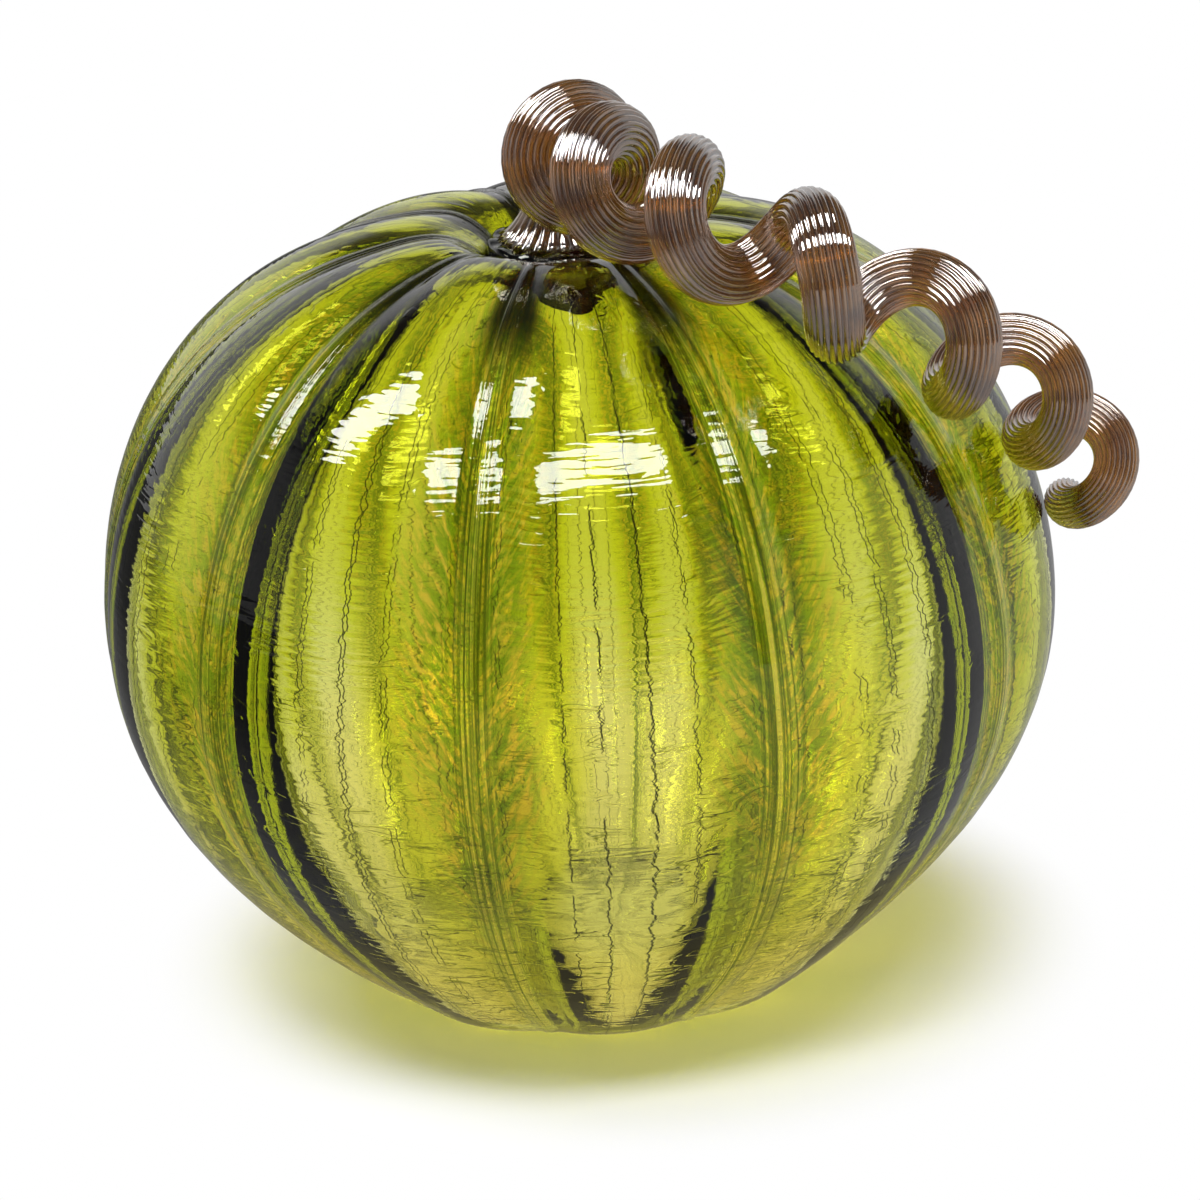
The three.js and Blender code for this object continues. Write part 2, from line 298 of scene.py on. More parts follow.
# Levels of a noise between which a mark shows
NOISE_MIDDLE = 0.5
AMBER_LEVEL = (0.44, 0.6)
SPECK_LEVEL = (0.7, 0.75)
DEEP_LEVEL = (0.48, 0.4)
BRIGHT_LEVEL = (0.52, 0.6)
PATCH_LEVEL = (0.42, 0.52)
CRACK_LEVEL = (0.017, 0.006)
STEP_LEVEL = (0.46, 0.54)
CANE_LEVEL = (0.35, 0.65)
# Painted shade in the flutes: groove depths between which it grows, and its strength there
GROOVE_SHADE_LEVEL = (0.45, 0.95, 0.0, 0.9)
# Gaps in the thin lines, the step at a chill mark against a ripple, and what sets one rib's grain apart
GAP_SOFTNESS = 0.08
GAP_STRETCH = (1, 1, 0.4)
CHILL_STEP = 0.6
RIB_APART = 7.3

# Glass: index of soda-lime glass and of a lustred skin, and darkening per metre of depth
GLASS_IOR = 1.5
LUSTRE_IOR = 3.0
BODY_DENSITY = 110.0
CANE_DENSITY = 60.0
PAD_DENSITY = 500.0

# Floor: where the shadow is deepest, how far from there it fades into the white sweep, how white it is
# through the glass, and how brightly it glows where the glass mirrors it, painted light, from left to right
SHADOW_MIDDLE = (8 * MM, 0, 0)
SHADOW_FADE = (78 * MM, 120 * MM)
WHITE = (1, 1, 1, 1)
PAPER = (0.8, 0.8, 0.8, 1)
PAPER_GLOW = 0.05
THROUGH_SHARE = 0.7
MIRRORED_FLOOR = (-0.4, 0.4, 0.08, 0.5)
# Soft boxes: name, place, width, height, power
BOXES = (
    ("front_box", (0.1, -0.57, 1.2), 1.05, 0.25, 13),
    ("left_box", (-0.72, 0.05, 1.2), 0.3, 0.7, 10),
)
BOX_AIM = (0, 0, 0.1)
# Room, along one way of looking: from, to, and how bright there where that isn't 0 and 1
WALLS = (-0.7, 0.0, 0.04, 0.35)
BACKDROP = (0.75, 0.95)
BACKDROP_LIGHT = 0.8
CEILING = (0.3, 0.8)
CEILING_LIGHT = 0.55
MIRRORED_BACKDROP = (0.25, 0.8)
MIRRORED_CEILING = (0.65, 0.4)
MIRRORED_LEFT = (-0.5, -0.9, 0.0, 0.35)
MIRRORED_RIGHT = (0.5, 0.9, 0.0, 0.6)
MIRRORED_RANGE = (0.0, 1.0, 0.06, 0.8)
ROOM_LIGHT = 0.3

# Settings that many nodes share
SOFT = {"interpolation_type": "SMOOTHSTEP"}
BLEND = {"data_type": "RGBA", "output": 2}


# Outlines and offsets of the body

def smooth_step(value, low, high):
    share = np.clip((value - low) / (high - low), 0, 1)
    return share * share * (3 - 2 * share)


def round_at(sizes, angle):
    """Radius and height of the smooth round at a station angle, 0 at its widest ring."""
    radius = sizes.width / 2
    across = np.maximum(np.cos(angle), 0)
    up = np.sin(angle)
    power = np.where(up >= 0, SHOULDER_POWER, BELLY_POWER)
    rise = np.where(up >= 0, SHOULDER_SHARE, BELLY_SHARE) * radius
    return radius * across**power, WIDEST_SHARE * radius + rise * up


def dimple_at(radius):
    return DIMPLE_DEPTH * np.exp(-((radius / DIMPLE_SPREAD) ** 2))


def top_height(sizes, radius):
    """Height of the dimpled top at a distance from the axis."""
    angle = np.arccos((radius / (sizes.width / 2)) ** (1 / SHOULDER_POWER))
    return round_at(sizes, angle)[1] - dimple_at(radius)


def even_steps(outline, count):
    """The same outline with its points at even steps along its length."""
    outline = np.asarray(outline)
    length = np.r_[0, np.cumsum(np.linalg.norm(np.diff(outline, axis=0), axis=1))]
    wanted = np.linspace(0, length[-1], count)
    return np.column_stack([np.interp(wanted, length, outline[:, axis]) for axis in (0, 1)])


def wall_outline(sizes):
    """Outline of the outer wall, from the edge of the flat base to the hole."""
    lowest = -math.asin(WIDEST_SHARE / BELLY_SHARE)
    angles = np.linspace(lowest, math.pi / 2, OUTLINE_POINTS)
    radius, height = round_at(sizes, angles)
    height = height - np.where(angles > 0, dimple_at(radius), 0)
    keep = (angles < 0) | (radius >= sizes.hole)
    return np.column_stack([radius, height])[keep]


def outer_outline(sizes):
    """Outer wall from the middle of the base, with the edge of the base rounded."""
    wall = wall_outline(sizes)
    along = np.r_[0, np.cumsum(np.linalg.norm(np.diff(wall, axis=0), axis=1))]
    above = wall[along > BASE_ROUNDING]
    edge = wall[0]
    flat = edge - (BASE_ROUNDING, 0)
    share = np.linspace(0, 1, ROUNDING_POINTS)[:, None]
    rounding = (1 - share) ** 2 * flat + 2 * share * (1 - share) * edge + share**2 * above[0]
    return np.vstack([(0, 0), even_steps(np.vstack([rounding, above[1:]]), OUTER_ROWS)])


def inner_outline(sizes):
    """Inner wall: the outer one pushed in by the thickness of the glass, over a thicker floor."""
    wall = wall_outline(sizes)
    along = np.gradient(wall, axis=0)
    along /= np.linalg.norm(along, axis=1)[:, None]
    inside = wall + sizes.wall * np.column_stack([-along[:, 1], along[:, 0]])
    inside = inside[(inside[:, 1] > sizes.floor) & (inside[:, 0] > 0)]
    rim = (sizes.hole, float(top_height(sizes, sizes.hole)) - sizes.wall)
    inside = np.vstack([inside[inside[:, 0] > sizes.hole], rim])
    return np.vstack([(0, sizes.floor), even_steps(inside, INNER_ROWS)])


def from_rib(sizes, azimuth):
    """Signed angle from the nearest rib."""
    gore = FULL_TURN / sizes.lobes
    turns = (azimuth - sizes.first_rib) / gore
    return (turns - np.round(turns)) * gore


def lobe_offset(sizes, azimuth, radius):
    """How far a lobe stands in or out from the smooth round."""
    share = np.abs(from_rib(sizes, azimuth)) * sizes.lobes / math.pi
    swell = 1 - (1 - share) ** LOBE_POWER
    return smooth_step(radius, *LOBE_FADE) * sizes.lobe_depth * (swell - LOBE_BALANCE)


def outward_at(sizes, radius, height):
    """Way in which a lobe swells: level up to the widest ring, square to the profile above it."""
    limit = sizes.width / 2
    inner = np.clip(radius - SLOPE_STEP, 0, limit - SLOPE_STEP)
    outer = inner + SLOPE_STEP
    fall = (top_height(sizes, inner) - top_height(sizes, outer)) / SLOPE_STEP
    length = np.hypot(fall, 1)
    above = height > WIDEST_SHARE * limit
    return np.where(above, fall / length, 1), np.where(above, 1 / length, 0)


def swollen(sizes, points, azimuth, offset):
    """Points moved out by an offset."""
    _, radius, height = polar(points)
    level, up = outward_at(sizes, radius, height)
    reach = radius + offset * level
    return np.column_stack([reach * np.sin(azimuth), -reach * np.cos(azimuth), height + offset * up])


def rib_offset(sizes, azimuth, height, half_angle):
    """How far a rib stands up."""
    return height * np.exp(-((from_rib(sizes, azimuth) / half_angle) ** 2))


# Modelling helpers

def edit_all(piece):
    bpy.ops.object.select_all(action="DESELECT")
    piece.select_set(True)
    bpy.context.view_layer.objects.active = piece
    bpy.ops.object.mode_set(mode="EDIT")
    bpy.ops.mesh.select_all(action="SELECT")


def spun_wall(name, outline, start, gores, spans):
    """Draws an outline by extruding a point along it, then spins it round the axis, gore by gore."""
    bpy.ops.object.select_all(action="DESELECT")
    bpy.ops.mesh.primitive_plane_add(size=MM)
    wall = bpy.context.object
    wall.name = name
    wall.data.name = name
    bpy.ops.object.mode_set(mode="EDIT")
    bpy.ops.mesh.select_mode(type="VERT")
    bpy.ops.mesh.merge(type="CENTER")
    direction = Vector((math.sin(start), -math.cos(start), 0))
    places = [direction * radius + Vector((0, 0, height)) for radius, height in outline]
    bpy.ops.transform.translate(value=places[0])
    for here, there in zip(places, places[1:]):
        bpy.ops.mesh.extrude_region_move(TRANSFORM_OT_translate={"value": there - here})
    bpy.ops.mesh.select_all(action="SELECT")
    for _ in range(gores):
        for angle, columns in spans:
            bpy.ops.mesh.spin(steps=columns, angle=angle, center=(0, 0, 0), axis=(0, 0, 1))
    bpy.ops.mesh.select_all(action="SELECT")
    bpy.ops.mesh.remove_doubles(threshold=MERGE_DISTANCE)
    bpy.ops.mesh.normals_make_consistent(inside=False)
    bpy.ops.object.mode_set(mode="OBJECT")
    return wall


def point_places(piece):
    points = np.empty(len(piece.data.vertices) * 3)
    piece.data.vertices.foreach_get("co", points)
    return points.reshape(-1, 3)


def move_points(piece, change):
    """Moves every point of a mesh to where change says."""
    piece.data.vertices.foreach_set("co", change(point_places(piece)).ravel())
    piece.data.update()


def polar(points):
    """Azimuth, distance from the axis and height of points."""
    return np.arctan2(points[:, 0], -points[:, 1]), np.hypot(points[:, 0], points[:, 1]), points[:, 2]


def dress(piece, material, node):
    """Gives a finished piece its glass and sets it in the place of its solid."""
    piece.data.materials.clear()
    piece.data.materials.append(material)
    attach(piece, "root")
    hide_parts(node)


# Materials

def linear(code):
    """Linear RGBA of an sRGB hex value."""
    channels = [int(code[place : place + 2], 16) / 255 for place in (1, 3, 5)]
    return [c / 12.92 if c <= 0.04045 else ((c + 0.055) / 1.055) ** 2.4 for c in channels] + [1]


def add(tree, kind, *values, output=0, sockets=None, **settings):
    """Adds a node, makes its settings, fills or links its inputs, and gives one of its outputs."""
    node = tree.nodes.new(kind)
    for key, value in settings.items():
        setattr(node, key, value)
    for key, value in [*enumerate(values), *(sockets or {}).items()]:
        if isinstance(value, bpy.types.NodeSocket):
            tree.links.new(value, node.inputs[key])
        else:
            node.inputs[key].default_value = value
    return node.outputs[output] if node.outputs else node


def new_material(name):
    material = bpy.data.materials.new(name)
    material.use_nodes = True
    material.node_tree.nodes.clear()
    return material


def finish_glass(tree, shader, shadow_colour, depth_colour, density):
    """Ends a glass that darkens with depth; its shadow lets light of one colour through."""
    shadow = add(tree, "ShaderNodeLightPath", output="Is Shadow Ray")
    clear = add(tree, "ShaderNodeBsdfTransparent", shadow_colour)
    surface = add(tree, "ShaderNodeMixShader", shadow, shader, clear)
    depth = add(tree, "ShaderNodeVolumeAbsorption", depth_colour, density)
    add(tree, "ShaderNodeOutputMaterial", surface, depth)


def body_glass(sizes, colours):
    """Blown soda-lime glass: clear lime panels, with olive and amber flecks melted in along the ribs."""
    material = new_material("blown_lime_glass")
    tree = material.node_tree
    gore = FULL_TURN / sizes.lobes
    around = sizes.width / 2 / MM

    # Where a point lies: millimetres round the widest ring, from the nearest rib and from mid lobe
    place = add(tree, "ShaderNodeTexCoord", output="Object")
    split = add(tree, "ShaderNodeSeparateXYZ", place).node.outputs
    height = add(tree, "ShaderNodeMath", split["Z"], MM, operation="DIVIDE")
    forward = add(tree, "ShaderNodeMath", split["Y"], -1.0, operation="MULTIPLY")
    azimuth = add(tree, "ShaderNodeMath", split["X"], forward, operation="ARCTAN2")
    turned = add(tree, "ShaderNodeMath", azimuth, sizes.first_rib, operation="SUBTRACT")
    gores = add(tree, "ShaderNodeMath", turned, gore, operation="DIVIDE")
    nearest = add(tree, "ShaderNodeMath", gores, operation="ROUND")
    beside = add(tree, "ShaderNodeMath", gores, nearest, operation="SUBTRACT")
    from_rib_mm = add(tree, "ShaderNodeMath", beside, gore * around, operation="MULTIPLY")
    off_rib = add(tree, "ShaderNodeMath", from_rib_mm, operation="ABSOLUTE")
    within = add(tree, "ShaderNodeMath", gores, operation="FRACT")
    centred = add(tree, "ShaderNodeMath", within, 0.5, operation="SUBTRACT")
    from_middle = add(tree, "ShaderNodeMath", centred, gore * around, operation="MULTIPLY")
    off_middle = add(tree, "ShaderNodeMath", from_middle, operation="ABSOLUTE")
    lobe_floor = add(tree, "ShaderNodeMath", gores, operation="FLOOR")
    lobes = float(sizes.lobes)
    lobe_number = add(tree, "ShaderNodeMath", lobe_floor, lobes, operation="FLOORED_MODULO")
    rib_number = add(tree, "ShaderNodeMath", nearest, lobes, operation="FLOORED_MODULO")
    side = add(tree, "ShaderNodeMath", from_rib_mm, operation="SIGN")
    family = add(tree, "ShaderNodeMath", rib_number, RIB_APART, side, operation="MULTIPLY_ADD")

    # The same place carried out to a cylinder, so that marks narrow towards the poles, as in drawn glass
    level = add(tree, "ShaderNodeVectorMath", place, (1, 1, 0), operation="MULTIPLY")
    radius = add(tree, "ShaderNodeVectorMath", level, operation="LENGTH", output="Value")
    radius = add(tree, "ShaderNodeMath", radius, MM, operation="DIVIDE")
    ring = add(tree, "ShaderNodeVectorMath", level, operation="NORMALIZE")
    ring = add(tree, "ShaderNodeVectorMath", ring, sockets={"Scale": around}, operation="SCALE")
    upright = add(tree, "ShaderNodeCombineXYZ", 0.0, 0.0, height)
    wrapped = add(tree, "ShaderNodeVectorMath", ring, upright, operation="ADD")
    noises = {}
    for name, (wide, tall), settings in (
        ("clouds", CLOUD, {"Detail": 2.0}),
        ("specks", SPECK, {"Detail": 1.0}),
        ("ripples", RIPPLE, {"Detail": 1.5}),
        ("ruffles", RUFFLE, {"Detail": 1.0}),
        ("chills", CHILL, {"Detail": 1.0, "Distortion": 0.5}),
        ("patches", PATCH, {"Detail": 1.0}),
    ):
        scaled = add(
            tree, "ShaderNodeVectorMath", wrapped, (1 / wide, 1 / wide, 1 / tall), operation="MULTIPLY"
        )
        noises[name] = add(tree, "ShaderNodeTexNoise", scaled, sockets={"Scale": 1.0, **settings})

    # Flames that rise away from the rib on both sides
    cosine, sine = math.cos(FLAME_LEAN), math.sin(FLAME_LEAN)
    rise = add(tree, "ShaderNodeMath", height, sine / FLAME_LENGTH, operation="MULTIPLY")
    along = add(tree, "ShaderNodeMath", off_rib, cosine / FLAME_LENGTH, rise, operation="MULTIPLY_ADD")
    rise = add(tree, "ShaderNodeMath", height, cosine / FLAME_WIDTH, operation="MULTIPLY")
    across = add(tree, "ShaderNodeMath", off_rib, -sine / FLAME_WIDTH, rise, operation="MULTIPLY_ADD")
    flame_place = add(tree, "ShaderNodeCombineXYZ", along, across, family)
    flames = add(
        tree, "ShaderNodeTexNoise", flame_place, sockets={"Scale": 1.0, "Detail": 2.5, "Distortion": 0.7}
    )

    # Panel: pale in the middle of the lobe, lime beside it and on the shoulder, khaki near the base
    wander = add(tree, "ShaderNodeMath", noises["clouds"], NOISE_MIDDLE, operation="SUBTRACT")
    spread = add(tree, "ShaderNodeMapRange", height, *PALE_SPREAD, **SOFT)
    pale_edge = add(tree, "ShaderNodeMath", off_middle, spread, operation="ADD")
    pale_edge = add(tree, "ShaderNodeMath", wander, PALE_WANDER, pale_edge, operation="MULTIPLY_ADD")
    pale = add(tree, "ShaderNodeMapRange", pale_edge, *PALE_EDGE, **SOFT)
    under_shoulder = add(tree, "ShaderNodeMapRange", height, *PALE_TOP, **SOFT)
    pale = add(tree, "ShaderNodeMath", pale, under_shoulder, operation="MULTIPLY")
    upper = add(tree, "ShaderNodeMapRange", height, *SHOULDER_RISE, **SOFT)
    limes = {6: linear(colours.lime), 7: linear(colours.shoulder)}
    colour = add(tree, "ShaderNodeMix", upper, sockets=limes, **BLEND)
    colour = add(tree, "ShaderNodeMix", pale, sockets={6: colour, 7: linear(colours.panel)}, **BLEND)
    low = add(tree, "ShaderNodeMapRange", height, *KHAKI_FALL, **SOFT)
    colour = add(tree, "ShaderNodeMix", low, sockets={6: colour, 7: linear(colours.khaki)}, **BLEND)

    # Mottling along the rib: olive with amber flames and a few dark specks
    amber = add(tree, "ShaderNodeMapRange", flames, *AMBER_LEVEL, **SOFT)
    mottle = {6: linear(colours.olive), 7: linear(colours.amber)}
    mottled = add(tree, "ShaderNodeMix", amber, sockets=mottle, **BLEND)
    dark = add(tree, "ShaderNodeMapRange", noises["specks"], *SPECK_LEVEL, **SOFT)
    mottled = add(tree, "ShaderNodeMix", dark, sockets={6: mottled, 7: linear(colours.seed)}, **BLEND)
    zone_edge = add(tree, "ShaderNodeMath", off_rib, spread, operation="SUBTRACT")
    zone_edge = add(tree, "ShaderNodeMath", wander, MOTTLE_WANDER, zone_edge, operation="MULTIPLY_ADD")
    zone_edge = add(tree, "ShaderNodeMath", flames, MOTTLE_FLAMES, zone_edge, operation="MULTIPLY_ADD")
    zone = add(tree, "ShaderNodeMapRange", zone_edge, *MOTTLE_EDGE, **SOFT)
    clear_base = add(tree, "ShaderNodeMapRange", height, *MOTTLE_RISE, **SOFT)
    zone = add(tree, "ShaderNodeMath", zone, clear_base, operation="MULTIPLY")
    colour = add(tree, "ShaderNodeMix", zone, sockets={6: colour, 7: mottled}, **BLEND)

    # Rib: a bundle of threads, dark and pale side by side
    thread = add(tree, "ShaderNodeMath", from_rib_mm, THREAD, operation="DIVIDE")
    slow = add(tree, "ShaderNodeMath", height, THREAD_LENGTH, operation="DIVIDE")
    thread_place = add(tree, "ShaderNodeCombineXYZ", thread, slow, family)
    threads = add(tree, "ShaderNodeTexNoise", thread_place, sockets={"Scale": 1.0, "Detail": 1.0})
    on_rib = add(tree, "ShaderNodeMapRange", off_rib, *RIB_EDGE, **SOFT)
    deep = add(tree, "ShaderNodeMapRange", threads, *DEEP_LEVEL, **SOFT)
    deep = add(tree, "ShaderNodeMath", deep, on_rib, operation="MULTIPLY")
    colour = add(tree, "ShaderNodeMix", deep, sockets={6: colour, 7: linear(colours.seed)}, **BLEND)
    bright = add(tree, "ShaderNodeMapRange", threads, *BRIGHT_LEVEL, **SOFT)
    bright = add(tree, "ShaderNodeMath", bright, on_rib, operation="MULTIPLY")
    colour = add(tree, "ShaderNodeMix", bright, sockets={6: colour, 7: linear(colours.streak)}, **BLEND)

    # Thin dark lines of painted shade, where crease edges refract darkly, jumping from ripple to ripple
    jump = add(tree, "ShaderNodeMath", height, JAG, operation="DIVIDE")
    origins = {"middle": (from_middle, lobe_number), "rib": (off_rib, family)}
    for origin, shift, width, left_out in PAINTED_SHADE_LINES:
        across, number = origins[origin]
        jag_place = add(tree, "ShaderNodeCombineXYZ", number, float(shift), jump)
        jags = {"Scale": 1.0, "Detail": 3.0, "Roughness": 0.65}
        jag = add(tree, "ShaderNodeTexNoise", jag_place, sockets=jags)
        moved = add(tree, "ShaderNodeMath", jag, JAG_REACH, across, operation="MULTIPLY_ADD")
        moved = add(tree, "ShaderNodeMath", moved, shift + JAG_REACH / 2, operation="SUBTRACT")
        away = add(tree, "ShaderNodeMath", moved, operation="ABSOLUTE")
        line = add(tree, "ShaderNodeMapRange", away, width, width / 2, **SOFT)
        gap_place = add(tree, "ShaderNodeVectorMath", jag_place, GAP_STRETCH, operation="MULTIPLY")
        gaps = add(tree, "ShaderNodeTexNoise", gap_place, sockets={"Scale": 1.0, "Detail": 1.0})
        kept = add(tree, "ShaderNodeMapRange", gaps, left_out, left_out + GAP_SOFTNESS, **SOFT)
        line = add(tree, "ShaderNodeMath", line, kept, operation="MULTIPLY")
        colour = add(tree, "ShaderNodeMix", line, sockets={6: colour, 7: linear(colours.line)}, **BLEND)

    # Chill marks: fine broken lines round the body, more of them low down and off the middle of a lobe
    lower = add(tree, "ShaderNodeMapRange", height, *CHILL_FALL, **SOFT)
    chilled = add(tree, "ShaderNodeMath", noises["patches"], lower, operation="ADD")
    chilled = add(tree, "ShaderNodeMapRange", chilled, *PATCH_LEVEL, **SOFT)
    aside = add(tree, "ShaderNodeMapRange", off_middle, *CHILL_EDGE, **SOFT)
    chilled = add(tree, "ShaderNodeMath", chilled, aside, operation="MULTIPLY")
    crack = add(tree, "ShaderNodeMath", noises["chills"], NOISE_MIDDLE, operation="SUBTRACT")
    crack = add(tree, "ShaderNodeMath", crack, operation="ABSOLUTE")
    crack = add(tree, "ShaderNodeMapRange", crack, *CRACK_LEVEL, **SOFT)
    crack = add(tree, "ShaderNodeMath", crack, chilled, operation="MULTIPLY")
    colour = add(tree, "ShaderNodeMix", crack, sockets={6: colour, 7: linear(colours.dash)}, **BLEND)

    # Relief: ripples all over, ruffles on the shoulder, steps at the chill marks, threads on the ribs
    step = add(tree, "ShaderNodeMapRange", noises["chills"], *STEP_LEVEL, **SOFT)
    step = add(tree, "ShaderNodeMath", step, chilled, operation="MULTIPLY")
    step = add(tree, "ShaderNodeMath", step, CHILL_STEP, operation="MULTIPLY")
    rippled = add(tree, "ShaderNodeMapRange", height, *RIPPLE_RISE, **SOFT)
    relief = add(tree, "ShaderNodeMath", noises["ripples"], rippled, step, operation="MULTIPLY_ADD")
    ruffled = add(tree, "ShaderNodeMapRange", height, *RUFFLE_RISE, **SOFT)
    relief = add(tree, "ShaderNodeMath", noises["ruffles"], ruffled, relief, operation="MULTIPLY_ADD")
    relief = add(tree, "ShaderNodeMath", threads, on_rib, relief, operation="MULTIPLY_ADD")
    bumps = {"Height": relief, "Strength": 1.0, "Distance": RELIEF * MM}
    normal = add(tree, "ShaderNodeBump", sockets=bumps)

    glass = add(
        tree,
        "ShaderNodeBsdfPrincipled",
        sockets={
            "Base Color": colour,
            "Roughness": 0.02,
            "IOR": GLASS_IOR,
            "Transmission Weight": 1.0,
            "Normal": normal,
        },
    )

    # Under the foot the body is melted together with dark glass; dark streaks along the ribs on the inside,
    # near the top, are painted reflection of that dark foot
    foot_stain_and_painted_reflection = add(tree, "ShaderNodeMapRange", radius, *STAIN_EDGE, **SOFT)
    top = add(tree, "ShaderNodeMapRange", height, *STAIN_RISE, **SOFT)
    foot_stain_and_painted_reflection = add(tree, "ShaderNodeMath", foot_stain_and_painted_reflection, top, operation="MULTIPLY")
    inside = add(tree, "ShaderNodeAttribute", attribute_name="inside", output="Fac")
    # Painted reflection: dark streaks on the inner wall along each rib, fading away from the foot
    run = add(tree, "ShaderNodeMapRange", off_rib, *DARK_REFLECTION_EDGE, **SOFT)
    run = add(tree, "ShaderNodeMath", run, inside, operation="MULTIPLY")
    run = add(tree, "ShaderNodeMath", run, top, operation="MULTIPLY")
    dark_reflection_end = add(tree, "ShaderNodeMapRange", radius, *DARK_REFLECTION_END, **SOFT)
    run = add(tree, "ShaderNodeMath", run, dark_reflection_end, operation="MULTIPLY")
    foot_stain_and_painted_reflection = add(tree, "ShaderNodeMath", foot_stain_and_painted_reflection, run, operation="MAXIMUM")
    dark_glass_and_painted_reflection = {"Base Color": linear(colours.foot_stain_and_painted_reflection), "Specular IOR Level": 0.0}
    foot = add(tree, "ShaderNodeBsdfPrincipled", sockets=dark_glass_and_painted_reflection)
    glass = add(tree, "ShaderNodeMixShader", foot_stain_and_painted_reflection, glass, foot)
    finish_glass(tree, glass, linear(colours.shadow), linear(colours.depth), BODY_DENSITY)
    return material


def cane_glass(colours):
    """Amber glass from a fluted mould, with painted shade in its grooves, silvery where its ridges catch
    the light.
    """
    material = new_material("fluted_amber_glass")
    tree = material.node_tree
    place = add(tree, "ShaderNodeTexCoord", output="Object")
    clouding = {"Scale": 1 / (CANE_CLOUD * MM), "Detail": 2.0}
    clouds = add(tree, "ShaderNodeTexNoise", place, sockets=clouding)
    share = add(tree, "ShaderNodeMapRange", clouds, *CANE_LEVEL, **SOFT)
    ambers = {6: linear(colours.stem_dark), 7: linear(colours.stem)}
    colour = add(tree, "ShaderNodeMix", share, sockets=ambers, **BLEND)
    # Painted shade at the bottom of each flute, by the depth of its groove
    groove = add(tree, "ShaderNodeAttribute", attribute_name="groove", output="Fac")
    groove_shade = add(tree, "ShaderNodeMapRange", groove, *GROOVE_SHADE_LEVEL, **SOFT)
    colour = add(tree, "ShaderNodeMix", groove_shade, sockets={6: colour, 7: linear(colours.groove_shade)}, **BLEND)
    glass = add(
        tree,
        "ShaderNodeBsdfPrincipled",
        sockets={
            "Base Color": colour,
            "Roughness": 0.05,
            "IOR": GLASS_IOR,
            "Transmission Weight": 0.85,
            "Coat Weight": 1.0,
            "Coat Roughness": 0.03,
            "Coat IOR": LUSTRE_IOR,
        },
    )
    finish_glass(tree, glass, linear(colours.stem), linear(colours.stem), CANE_DENSITY)
    return material


def pad_glass(colours):
    """Brown glass, dropped hot and pinched: nearly black, because it is thick."""
    material = new_material("dark_amber_glass")
    tree = material.node_tree
    brown = linear(colours.pad)
    surface = {"Base Color": brown, "Roughness": 0.04, "IOR": GLASS_IOR, "Transmission Weight": 1.0}
    glass = add(tree, "ShaderNodeBsdfPrincipled", sockets=surface)
    finish_glass(tree, glass, brown, brown, PAD_DENSITY)
    return material


# Line that the cane follows, and the faces of the pad

def share_between(turns, start):
    return min(max((turns - start) / (CURL_END - start), 0), 1)


def cane_radius_at(stem, turns):
    share = share_between(turns, TAPER_START)
    return stem.cane_radius + share * (stem.tail_radius - stem.cane_radius)


def curl_radius_at(stem, turns):
    share = share_between(turns, TIGHTEN_START)
    return stem.curl_radius + share * (stem.tail_curl_radius - stem.curl_radius)


def route_at(share):
    """Smooth line through the stations of the route."""
    stations = np.array(ROUTE, float)
    spans = len(stations) - 1
    place = min(max(share, 0), 1) * spans
    first = min(int(place), spans - 1)
    within = place - first
    before = stations[first - 1] if first else 2 * stations[0] - stations[1]
    here, there = stations[first], stations[first + 1]
    after = stations[first + 2] if first + 2 <= spans else 2 * there - here
    start, end = (there - before) / 2, (after - here) / 2
    return (
        here
        + start * within
        + (3 * (there - here) - 2 * start - end) * within**2
        + (2 * (here - there) + start + end) * within**3
    )


def point_at(azimuth, radius, height):
    return np.array((radius * math.sin(azimuth), -radius * math.cos(azimuth), height))


def axis_at(body, stem, turns):
    """Middle of the curl, and the way out of the body there."""
    azimuth, station, lift = route_at((turns - ROUTE_START) / (ROUTE_END - ROUTE_START))
    angle, heading = math.radians(station), math.radians(azimuth)
    radius, height = round_at(body, angle)
    above, below = round_at(body, angle + STATION_STEP), round_at(body, angle - STATION_STEP)
    slope = np.array((above[1] - below[1], below[0] - above[0]))
    slope /= np.linalg.norm(slope)
    outward = point_at(heading, slope[0], slope[1])
    reach = curl_radius_at(stem, turns) + cane_radius_at(stem, turns) + lift * stem.cane_radius
    return point_at(heading, radius, height) + outward * reach, outward


def curl_line(body, stem):
    """Middle line and radius of the wound cane."""
    line = []
    steps = round((CURL_END - CURL_START) * POINTS_PER_TURN)
    for turns in np.linspace(CURL_START, CURL_END, steps + 1):
        middle, outward = axis_at(body, stem, turns)
        along = axis_at(body, stem, turns + TURN_STEP)[0] - axis_at(body, stem, turns - TURN_STEP)[0]
        along /= np.linalg.norm(along)
        out = outward - along * (outward @ along)
        out /= np.linalg.norm(out)
        side = np.cross(along, out)
        phase = turns * FULL_TURN + CURL_PHASE
        radius = curl_radius_at(stem, turns)
        middle = middle + radius * (math.cos(phase) * out + math.sin(phase) * side)
        line.append((middle, cane_radius_at(stem, turns)))
    return line


def pad_under(body, radius):
    slope = 2 * radius * dimple_at(radius) / DIMPLE_SPREAD**2
    return top_height(body, radius) + FIT_GAP * np.hypot(1, slope)


def pad_top(body, stem, radius):
    crown = float(top_height(body, 0)) + DIMPLE_DEPTH - PAD_SINK
    rim = float(pad_under(body, stem.pad_radius)) + PAD_EDGE
    return crown + (rim - crown) * (radius / stem.pad_radius) ** PAD_CROWN_POWER


